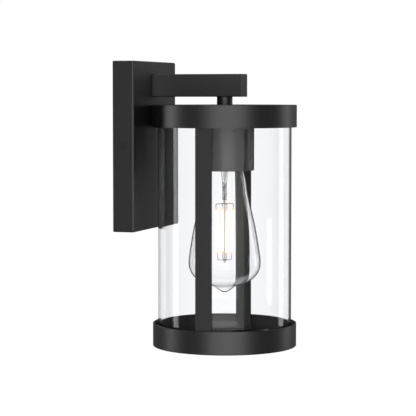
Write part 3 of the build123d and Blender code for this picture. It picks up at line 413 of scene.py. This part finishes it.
def thread_tree():
    """Rolls a right-hand thread into a turned shell: its wall waves out by the depth once in every pitch."""
    tree, given = new_tree("rolled_thread", Axis="Vector", Pitch="Float", Depth="Float", Top="Float",
                           Bottom="Float", RunOut="Float", Finish="Material")
    place = add(tree, "GeometryNodeInputPosition")
    arm = add(tree, "ShaderNodeVectorMath", {0: place, 1: given["Axis"]}, operation="SUBTRACT")
    spread = add(tree, "ShaderNodeSeparateXYZ", {"Vector": arm}).outputs
    turn = add(tree, "ShaderNodeMath", {0: spread["Y"], 1: spread["X"]}, operation="ARCTAN2")
    rate = add(tree, "ShaderNodeMath", {0: math.tau, 1: given["Pitch"]}, operation="DIVIDE")
    climb = add(tree, "ShaderNodeMath", {0: spread["Z"], 1: rate}, operation="MULTIPLY")
    phase = add(tree, "ShaderNodeMath", {0: climb, 1: turn}, operation="SUBTRACT")
    wave = add(tree, "ShaderNodeMath", {0: phase}, operation="COSINE")
    crest = add(tree, "ShaderNodeMapRange", {"Value": wave, "From Min": -1.0})
    high = add(tree, "ShaderNodeMath", {0: given["Top"], 1: given["RunOut"]}, operation="SUBTRACT")
    low = add(tree, "ShaderNodeMath", {0: given["Bottom"], 1: given["RunOut"]}, operation="ADD")
    from_top = add(tree, "ShaderNodeMapRange", {
        "Value": spread["Z"], "From Min": given["Top"], "From Max": high}, interpolation_type="SMOOTHSTEP")
    from_bottom = add(tree, "ShaderNodeMapRange", {
        "Value": spread["Z"], "From Min": given["Bottom"], "From Max": low}, interpolation_type="SMOOTHSTEP")
    held = add(tree, "ShaderNodeMath", {0: from_top, 1: from_bottom}, operation="MULTIPLY")
    share = add(tree, "ShaderNodeMath", {0: crest, 1: held}, operation="MULTIPLY")
    rise = add(tree, "ShaderNodeMath", {0: share, 1: given["Depth"]}, operation="MULTIPLY")
    level = add(tree, "ShaderNodeCombineXYZ", {"X": spread["X"], "Y": spread["Y"]})
    outward = add(tree, "ShaderNodeVectorMath", {0: level}, operation="NORMALIZE")
    offset = add(tree, "ShaderNodeVectorMath", {0: outward, "Scale": rise}, operation="SCALE")
    rolled = add(tree, "GeometryNodeSetPosition", {"Geometry": given["Mesh"], "Offset": offset})
    end_tree(tree, rolled, given["Finish"])
    return tree


def press_tree():
    """Presses a turned stem flat, as hot jaws leave it: wide along X, thin across, round again at its end."""
    tree, given = new_tree("pressed_stem", Axis="Vector", Round="Float", Flat="Float", End="Float",
                           Wide="Float", Thin="Float", Finish="Material")
    place = add(tree, "GeometryNodeInputPosition")
    arm = add(tree, "ShaderNodeVectorMath", {0: place, 1: given["Axis"]}, operation="SUBTRACT")
    height = add(tree, "ShaderNodeSeparateXYZ", {"Vector": arm}).outputs["Z"]
    squeeze = add(tree, "ShaderNodeMapRange", {
        "Value": height, "From Min": given["Round"], "From Max": given["Flat"]},
        interpolation_type="SMOOTHSTEP")
    above_end = add(tree, "ShaderNodeMath", {0: height, 1: given["End"]}, operation="GREATER_THAN")
    pressed = add(tree, "ShaderNodeMath", {0: squeeze, 1: above_end}, operation="MULTIPLY")
    wide = add(tree, "ShaderNodeMapRange", {"Value": pressed, "To Min": 1.0, "To Max": given["Wide"]})
    thin = add(tree, "ShaderNodeMapRange", {"Value": pressed, "To Min": 1.0, "To Max": given["Thin"]})
    scale = add(tree, "ShaderNodeCombineXYZ", {"X": wide, "Y": thin, "Z": 1.0})
    moved = add(tree, "ShaderNodeVectorMath", {0: arm, 1: scale, 2: given["Axis"]}, operation="MULTIPLY_ADD")
    flattened = add(tree, "GeometryNodeSetPosition", {"Geometry": given["Mesh"], "Position": moved})
    end_tree(tree, flattened, given["Finish"])
    return tree


def strips_tree():
    """Sets filament strips round the axis: each follows the line that it is given and thins at both ends."""
    rings = 60
    sides = 20
    tree, given = new_tree("filament_strips", Axis="Vector", Count="Int", Turn="Float", Radius="Float",
                           Finish="Material")
    line = add(tree, "GeometryNodeMeshToCurve", {"Mesh": given["Mesh"]})
    fine = add(tree, "GeometryNodeResampleCurve", {"Curve": line, "Count": rings})
    share = add(tree, "GeometryNodeSplineParameter").outputs["Factor"]
    marked = add(tree, "GeometryNodeStoreNamedAttribute", {
        "Geometry": fine, "Name": "along", "Value": share}, domain="POINT", data_type="FLOAT")
    offset = add(tree, "ShaderNodeMath", {0: share, 1: 0.5}, operation="SUBTRACT")
    from_middle = add(tree, "ShaderNodeMath", {0: offset}, operation="ABSOLUTE")
    taper = add(tree, "ShaderNodeMapRange", {
        "Value": from_middle, "From Min": 0.42, "From Max": 0.5, "To Min": 1.0, "To Max": 0.4},
        interpolation_type="SMOOTHSTEP")
    section = add(tree, "GeometryNodeCurvePrimitiveCircle", {"Resolution": sides, "Radius": given["Radius"]})
    strip = add(tree, "GeometryNodeCurveToMesh", {
        "Curve": marked, "Profile Curve": section, "Scale": taper, "Fill Caps": True})
    points = add(tree, "GeometryNodePoints", {"Count": given["Count"], "Position": given["Axis"]})
    number = add(tree, "GeometryNodeInputIndex")
    step = add(tree, "ShaderNodeMath", {0: math.tau, 1: given["Count"]}, operation="DIVIDE")
    turn = add(tree, "ShaderNodeMath", {0: number, 1: step, 2: given["Turn"]}, operation="MULTIPLY_ADD")
    spin = add(tree, "ShaderNodeCombineXYZ", {"Z": turn})
    ring = add(tree, "GeometryNodeInstanceOnPoints", {"Points": points, "Instance": strip, "Rotation": spin})
    end_tree(tree, ring, given["Finish"])
    return tree


TURNED = turned_tree()
THREAD = thread_tree()
PRESS = press_tree()
STRIPS = strips_tree()


def section_mesh(points, closed):
    """A half section or path as a mesh of edges; its points are (radius, height)."""
    mesh = bpy.data.meshes.new("section")
    count = len(points)
    edges = [(i, (i + 1) % count) for i in range(count if closed else count - 1)]
    mesh.from_pydata([(radius, 0, height) for radius, height in points], edges, [])
    return mesh


def grown(name, body, node, base, *steps):
    """A piece that node trees grow from a base mesh, as a plain mesh that stands for a CAD node."""
    piece = bpy.data.objects.new(name, base)
    for tree, values in steps:
        modifier = piece.modifiers.new(tree.name, "NODES")
        modifier.node_group = tree
        values = {"Axis": AXIS, "Finish": finishes[slots[node]], **values}
        for socket in tree.interface.items_tree:
            if socket.in_out == "INPUT" and socket.name in values:
                modifier[socket.identifier] = values[socket.name]
    scene.collection.objects.link(piece)
    depsgraph = bpy.context.evaluated_depsgraph_get()
    mesh = bpy.data.meshes.new_from_object(
        piece.evaluated_get(depsgraph), preserve_all_data_layers=True, depsgraph=depsgraph)
    piece.modifiers.clear()
    piece.data = mesh
    mesh.name = name
    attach(piece, body)
    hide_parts(node)
    return piece


def rounded(corners, steps=7):
    """A closed section through corners (radius, height, edge radius), each edge as an arc with a short run
    beside it that keeps the flat faces flat under smooth shading."""
    run = 0.12 * MM
    points = []
    for i, (radius, height, edge) in enumerate(corners):
        corner = Vector((radius, height))
        into = (Vector(corners[i - 1][:2]) - corner).normalized()
        out = (Vector(corners[(i + 1) % len(corners)][:2]) - corner).normalized()
        half = into.angle(out) / 2
        reach = edge / math.tan(half)
        centre = corner + (into + out).normalized() * edge / math.sin(half)
        spoke = corner + into * reach - centre
        last = corner + out * reach - centre
        turn = spoke.angle_signed(last)
        points.append(corner + into * (reach + run))
        points += [centre + Matrix.Rotation(-turn * step / steps, 2) @ spoke for step in range(steps + 1)]
        points.append(corner + out * (reach + run))
    return points


def divided(points, step):
    """A closed section with its long runs cut into short ones."""
    fine = []
    for i, point in enumerate(points):
        onward = points[(i + 1) % len(points)] - point
        count = max(1, math.ceil(onward.length / step))
        fine += [point + onward * share / count for share in range(count)]
    return fine


# Glass tube between cap and base ring
tube_inner = TUBE_RADIUS - TUBE_WALL
tube_section = rounded([
    (TUBE_RADIUS, tube_high.z, TUBE_EDGE), (TUBE_RADIUS, tube_low.z, TUBE_EDGE),
    (tube_inner, tube_low.z, TUBE_EDGE), (tube_inner, tube_high.z, TUBE_EDGE)])
glass_tube = grown("glass_tube", "lantern", "glass_cylinder", section_mesh(tube_section, True),
                   (TURNED, {"Segments": 320}))


# Lamp's glass: neck, long flank, round shoulder and a crowned bottom with its melted tip

def flank_line(points, slopes, steps):
    """Points on a smooth line through (radius, height) points that fall, with its slope at both ends."""
    radius, height = np.array(points).T
    fall = -np.diff(height)
    grade = np.diff(radius) / fall
    count = len(points)
    system = np.eye(count)
    target = np.zeros(count)
    target[0], target[-1] = slopes
    for i in range(1, count - 1):
        system[i, i - 1:i + 2] = 1 / fall[i - 1], 2 / fall[i - 1] + 2 / fall[i], 1 / fall[i]
        target[i] = 3 * (grade[i - 1] / fall[i - 1] + grade[i] / fall[i])
    slope = np.linalg.solve(system, target)
    line = []
    for i in range(count - 1):
        for t in np.linspace(0, 1, steps, endpoint=False):
            line.append((
                (1 + 2 * t) * (1 - t) ** 2 * radius[i] + t * (1 - t) ** 2 * fall[i] * slope[i]
                + t * t * (3 - 2 * t) * radius[i + 1] + t * t * (t - 1) * fall[i] * slope[i + 1],
                height[i] - t * fall[i]))
    return line


def lamp_half(inset):
    """Half section of the lamp's glass from neck to bottom, moved in by the wall."""
    neck_z = shell_low.z
    bottom_z = lamp_low.z + LAMP_TIP_LENGTH + inset
    widest_z = lamp_low.z + LAMP_TIP_LENGTH + LAMP_BOWL_DEPTH
    neck = LAMP_NECK_RADIUS - inset
    widest = LAMP_RADIUS - inset
    corner = LAMP_CORNER - inset
    drop = widest_z - bottom_z
    crown = (drop ** 2 + (widest - corner) ** 2 - corner ** 2) / (2 * (drop - corner))
    shoulder = math.atan2(crown - drop, widest - corner)
    flank = [(neck, neck_z)]
    flank += [(neck + out * (widest - neck), neck_z + down * (widest_z - neck_z))
              for out, down in LAMP_FLANK_SHARES]
    flank.append((widest, widest_z))
    points = [(neck, neck_z + LAMP_NECK_TUCK), (neck, neck_z + LAMP_NECK_TUCK / 2)]
    points += flank_line(flank, (LAMP_NECK_SLOPE, 0), 12)
    for turn in np.linspace(0, shoulder, 18, endpoint=False):
        points.append((widest - corner + corner * math.cos(turn), widest_z - corner * math.sin(turn)))
    for turn in np.linspace(math.pi / 2 - shoulder, 0, 48):
        radius = crown * math.sin(turn)
        tip = LAMP_TIP_LENGTH * (1 + math.cos(math.pi * min(1, radius / LAMP_TIP_RADIUS))) / 2
        points.append((radius, bottom_z + crown - crown * math.cos(turn) - tip))
    return points


lamp_section = lamp_half(LAMP_WALL)[::-1] + lamp_half(0)
lamp_envelope = grown("lamp_envelope", "lamp", "bulb_glass", section_mesh(lamp_section, False),
                      (TURNED, {"Segments": 224}))


# Lamp's stem: flare sealed in the neck, tube, flat press and the rod that carries the strips

def stem_flare(inset):
    """Flare from the rim down to the tube, moved in by the wall."""
    tube = STEM_TUBE_RADIUS - inset
    rim = FLARE_RADIUS - inset
    return [(tube + (rim - tube) * (1 - share) ** 3, stem_high.z - share * STEM_FLARE_LENGTH)
            for share in np.linspace(0, 1, 20)]


def raised(points, z):
    """Points (radius, height) in mm as points of a section, with their heights counted from z."""
    return [(radius * MM, z + height * MM) for radius, height in points]


press_top = stem_high.z - STEM_TUBE_LENGTH
press_end = press_top - PRESS_LENGTH
tube_start = stem_high.z - STEM_FLARE_LENGTH
tube_inside = np.linspace(press_top + STEM_FLOOR_HEIGHT, tube_start, 8, endpoint=False)
tube_outside = np.linspace(tube_start, press_end + PRESS_FOOT_HEIGHT, 26)[1:]
stem_section = raised(STEM_FLOOR, press_top)
stem_section += [(STEM_TUBE_RADIUS - STEM_WALL, height) for height in tube_inside]
stem_section += stem_flare(STEM_WALL)[::-1] + stem_flare(0)
stem_section += [(STEM_TUBE_RADIUS, height) for height in tube_outside]
stem_section += raised(PRESS_FOOT, press_end) + raised(ROD_TIP, stem_low.z)
lamp_stem = grown("lamp_stem", "lamp", "bulb_stem", section_mesh(stem_section, False),
                  (TURNED, {"Segments": 72}),
                  (PRESS, {"Round": tube_start, "Flat": press_top, "End": press_end + PRESS_MARGIN,
                           "Wide": PRESS_WIDTH / 2 / STEM_TUBE_RADIUS,
                           "Thin": PRESS_THICKNESS / 2 / STEM_TUBE_RADIUS}))
# The rod's emission is a painted glow, standing in for the light of the strips round it
lamp_stem.data.materials.append(clouded_glass_rod_painted_glow())
lamp_stem.data.materials.append(pinched_seal_glass())
for face in lamp_stem.data.polygons:
    if face.center.z < press_end:
        face.material_index = 1
    elif face.center.z < press_top:
        face.material_index = 2

# Lamp's base and the holder's sleeve, with the thread that joins them
thread = {"Pitch": THREAD_PITCH, "Depth": THREAD_DEPTH}
shell_inner = SHELL_ROOT - SHELL_WALL
shell_section = rounded([
    (SHELL_ROOT, shell_high.z, SHELL_SHOULDER), (SHELL_ROOT, shell_low.z, CUT_EDGE),
    (shell_inner, shell_low.z, CUT_EDGE), (shell_inner, shell_high.z - SHELL_FLANGE, SHELL_FLANGE),
    (shell_inner - SHELL_FLANGE_WIDTH, shell_high.z - SHELL_FLANGE, FLANGE_EDGE),
    (shell_inner - SHELL_FLANGE_WIDTH, shell_high.z, FLANGE_EDGE)])
grown("lamp_base", "lamp", "bulb_base_shell", section_mesh(divided(shell_section, THREAD_RUN), True),
      (TURNED, {"Segments": 120}),
      (THREAD, {**thread, "Top": shell_high.z - SHELL_RUN_OUT, "Bottom": shell_low.z + SHELL_COLLAR,
                "RunOut": SHELL_RUN_OUT}))
sleeve_inner = SHELL_ROOT + SLEEVE_GAP
sleeve_outer = sleeve_inner + SLEEVE_WALL
sleeve_section = rounded([
    (sleeve_outer, holder_high.z, CUT_EDGE), (sleeve_outer, holder_low.z, CUT_EDGE),
    (sleeve_inner, holder_low.z, CUT_EDGE), (sleeve_inner, holder_high.z, CUT_EDGE)])
grown("holder_sleeve", "lantern", "socket_screw_shell",
      section_mesh(divided(sleeve_section, THREAD_RUN), True),
      (TURNED, {"Segments": 120}),
      (THREAD, {**thread, "Top": holder_high.z + SLEEVE_OVERRUN, "Bottom": holder_low.z - SLEEVE_OVERRUN,
                "RunOut": SLEEVE_RUN_OUT}))

# Filament strips
strip_line = [(FILAMENT_TOP_SPREAD, strips_high.z), (FILAMENT_BOTTOM_SPREAD, strips_low.z)]
grown("filament_strips", "lamp", "led_filaments", section_mesh(strip_line, False),
      (STRIPS, {"Count": FILAMENT_COUNT, "Turn": FILAMENT_TURN, "Radius": FILAMENT_RADIUS}))
for piece in (glass_tube, lamp_envelope, lamp_stem):
    piece.visible_shadow = False

# Camera at the photograph's place
camera = bpy.data.objects.new("camera", bpy.data.cameras.new("camera"))
scene.collection.objects.link(camera)
right, up = Vector((0.30628, -0.95194, 0.0)), Vector((0.06377, 0.02052, 0.99776))
back = right.cross(up)
camera.matrix_world = Matrix.Translation((-1.41512, -0.52396, 0.0445)) @ Matrix(
    (right, up, back)).transposed().to_4x4()
camera.data.lens = 145.44
camera.data.sensor_width = 36.0
scene.camera = camera


# Studio: white behind, a dim room for what the object mirrors, soft lights and a pale floor

ROOM_TONE = 0.45
MIRRORED_ROOM_TONE = 0.045
FAR_WALL_TONE = 0.17
MIRRORED_WHITE = 1.25
LAMP_RIM_SHADE = 0.45
LEFT_FLAG_SHADE = 0.5
RIGHT_FLAG_SHADE = 0.9


def seen_directly(tree):
    """1 for what the camera sees, also straight through glass, and 0 after a bounce; with the light path."""
    path = add(tree, "ShaderNodeLightPath").outputs
    bounced = add(tree, "ShaderNodeMath", {
        0: path["Glossy Depth"], 1: path["Diffuse Depth"]}, operation="ADD", use_clamp=True)
    straight = add(tree, "ShaderNodeMath", {
        0: path["Is Transmission Ray"], 1: bounced}, operation="SUBTRACT", use_clamp=True)
    seen = add(tree, "ShaderNodeMath", {0: path["Is Camera Ray"], 1: straight}, operation="MAXIMUM")
    return seen, path


def studio_world():
    """White where the camera looks, also through glass; a dim room for what the object mirrors."""
    world = bpy.data.worlds.new("studio")
    world.use_nodes = True
    tree = world.node_tree
    tree.nodes.clear()
    seen, path = seen_directly(tree)
    crossings = path["Transmission Depth"]
    heading = add(tree, "ShaderNodeTexCoord").outputs["Generated"]
    ahead = add(tree, "ShaderNodeVectorMath", {0: heading, 1: -back}, operation="DOT_PRODUCT")
    aside = add(tree, "ShaderNodeVectorMath", {0: heading, 1: right}, operation="DOT_PRODUCT")
    rise = add(tree, "ShaderNodeSeparateXYZ", {"Vector": heading}).outputs["Z"]

    # Soft steps over the room's directions, from 0 at the first value to 1 at the second
    step = {}
    for name, direction, start, end in (
            ("backdrop", ahead, 0.42, 0.64), ("backdrop_in_lamp", ahead, 0.45, 0.7),
            ("far_wall", ahead, 0.3, 0.85), ("backdrop_foot", rise, -0.1332, -0.1316),
            ("left_flag_edge", aside, -0.58, -0.48), ("left_of_middle", aside, 0.0, -0.1),
            ("right_flag_edge", aside, 0.58, 0.48), ("right_of_middle", aside, 0.0, 0.1)):
        step[name] = add(tree, "ShaderNodeMapRange", {
            "Value": direction, "From Min": start, "From Max": end}, interpolation_type="SMOOTHSTEP")

    # A sight line that only grazes the glass tube or the lamp crosses 2 or 6 faces: it bends into the room
    tube_rim = add(tree, "ShaderNodeMath", {0: crossings, 1: 2.0, 2: 0.5}, operation="COMPARE")
    lamp_rim = add(tree, "ShaderNodeMath", {0: crossings, 1: 6.0, 2: 0.5}, operation="COMPARE")
    rims = add(tree, "ShaderNodeMath", {
        0: lamp_rim, 1: LAMP_RIM_SHADE, 2: tube_rim}, operation="MULTIPLY_ADD")
    sight = add(tree, "ShaderNodeMath", {0: seen, 1: rims}, operation="SUBTRACT", use_clamp=True)

    # The tube mirrors the white backdrop, but for a grey flag at the left and a black one at the right
    left_flag = add(tree, "ShaderNodeMath", {
        0: step["left_flag_edge"], 1: step["left_of_middle"]}, operation="MULTIPLY")
    right_flag = add(tree, "ShaderNodeMath", {
        0: step["right_flag_edge"], 1: step["right_of_middle"]}, operation="MULTIPLY")
    right_shade = add(tree, "ShaderNodeMath", {0: right_flag, 1: RIGHT_FLAG_SHADE}, operation="MULTIPLY")
    flags = add(tree, "ShaderNodeMath", {
        0: left_flag, 1: LEFT_FLAG_SHADE, 2: right_shade}, operation="MULTIPLY_ADD")
    open_backdrop = add(tree, "ShaderNodeMath", {
        0: step["backdrop_foot"], 1: flags}, operation="SUBTRACT", use_clamp=True)
    backdrop = add(tree, "ShaderNodeMath", {0: step["backdrop"], 1: open_backdrop}, operation="MULTIPLY")
    by_tube = add(tree, "ShaderNodeMath", {0: crossings, 1: 2.5}, operation="LESS_THAN")
    in_tube = add(tree, "ShaderNodeMath", {0: by_tube, 1: backdrop}, operation="MULTIPLY")

    # The lamp's far glass mirrors the same backdrop without its flags
    by_lamp = add(tree, "ShaderNodeMath", {0: crossings, 1: 6.5}, operation="GREATER_THAN")
    in_glass = add(tree, "ShaderNodeMath", {
        0: by_lamp, 1: step["backdrop_in_lamp"], 2: in_tube}, operation="MULTIPLY_ADD")
    sharp = add(tree, "ShaderNodeMath", {
        0: path["Is Singular Ray"], 1: path["Glossy Depth"]}, operation="MULTIPLY", use_clamp=True)
    in_sharp_glass = add(tree, "ShaderNodeMath", {0: in_glass, 1: sharp}, operation="MULTIPLY")
    mirrored = add(tree, "ShaderNodeMath", {0: in_sharp_glass, 1: MIRRORED_WHITE}, operation="MULTIPLY")

    # Satin surfaces that face away from the camera mirror a lighter far wall, but not through the glass
    past_glass = add(tree, "ShaderNodeMath", {
        0: path["Is Singular Ray"], 1: crossings}, operation="ADD", use_clamp=True)
    far_wall = add(tree, "ShaderNodeMath", {
        0: step["far_wall"], 1: past_glass}, operation="SUBTRACT", use_clamp=True)
    satin_room = add(tree, "ShaderNodeMapRange", {
        "Value": far_wall, "To Min": MIRRORED_ROOM_TONE, "To Max": FAR_WALL_TONE})
    room = add(tree, "ShaderNodeMapRange", {
        "Value": path["Diffuse Depth"], "To Min": satin_room, "To Max": ROOM_TONE})
    white = add(tree, "ShaderNodeMath", {0: sight, 1: mirrored}, operation="MAXIMUM")
    tone = add(tree, "ShaderNodeMath", {0: white, 1: room}, operation="MAXIMUM")
    sky = add(tree, "ShaderNodeBackground", {"Strength": tone, "Color": (1, 1, 1, 1)})
    add(tree, "ShaderNodeOutputWorld", {"Surface": sky})
    return world


scene.world = studio_world()


def softbox(name, angle, distance, width, height, watts, z):
    """An upright soft light; its angle is counted from the camera's side, towards the picture's right."""
    light = bpy.data.lights.new(name, "AREA")
    light.shape = "RECTANGLE"
    light.size, light.size_y = width, height
    light.energy = watts
    holder = bpy.data.objects.new(name, light)
    scene.collection.objects.link(holder)
    turn = math.atan2(back.y, back.x) + math.radians(angle)
    outward = Vector((math.cos(turn), math.sin(turn), 0))
    holder.location = AXIS + outward * distance + Vector((0, 0, z))
    holder.rotation_mode = "QUATERNION"
    holder.rotation_quaternion = outward.to_track_quat("Z", "Y")
    holder.visible_camera = False
    return holder


softbox("front_softbox", angle=3.3, distance=1.7, width=1.91, height=2.4, watts=21, z=-0.05)
softbox("left_strip", angle=-93, distance=1.6, width=0.36, height=1.8, watts=6.3, z=0.43)
# A polarising sheet over part of the right strip keeps that part's light out of the glass
right_strip = {"angle": 113, "distance": 1.6, "width": 0.41, "height": 1.8, "z": 0.45}
softbox("right_strip", watts=4.1, **right_strip)
polarised = softbox("polarised_strip", watts=2.8, **right_strip)
polarised.visible_transmission = False
ceiling = softbox("ceiling_softbox", angle=0, distance=0, width=1.2, height=1.2, watts=11, z=1.7)
ceiling.rotation_quaternion = (1, 0, 0, 0)


def pale_floor(drop, radius):
    """Round pale floor under the lantern, which keeps its shadow and runs out into the white."""
    mesh = bpy.data.meshes.new("floor")
    rim = [(radius * math.cos(turn), radius * math.sin(turn), ring_low.z - drop)
           for turn in np.linspace(0, math.tau, 96, endpoint=False)]
    mesh.from_pydata(rim, [], [tuple(range(len(rim)))])
    material = bpy.data.materials.new("pale_studio_floor")
    material.use_nodes = True
    tree = material.node_tree
    tree.nodes.clear()
    seen, path = seen_directly(tree)
    coords = add(tree, "ShaderNodeTexCoord").outputs["Object"]
    away = add(tree, "ShaderNodeVectorMath", {0: coords}, operation="LENGTH")
    open_floor = add(tree, "ShaderNodeMapRange", {
        "Value": away, "From Min": 0.7, "From Max": 2.2, "To Min": 0.45, "To Max": 1.0},
        interpolation_type="SMOOTHSTEP")
    lift = add(tree, "ShaderNodeMath", {0: open_floor, 1: seen}, operation="MULTIPLY")
    tone = add(tree, "ShaderNodeMix", {
        "Factor": path["Glossy Depth"], "A": linear("ececec"), "B": linear("8c8c8c")}, data_type="RGBA")
    matt = add(tree, "ShaderNodeBsdfDiffuse", {"Color": tone})
    glow = add(tree, "ShaderNodeEmission", {"Strength": lift})
    both = add(tree, "ShaderNodeAddShader", {0: matt, 1: glow})
    add(tree, "ShaderNodeOutputMaterial", {"Surface": both})
    mesh.materials.append(material)
    floor = bpy.data.objects.new("floor", mesh)
    scene.collection.objects.link(floor)


pale_floor(drop=0.8, radius=4.5)

scene.cycles.max_bounces = 24
scene.cycles.transmission_bounces = 24
scene.cycles.caustics_refractive = False
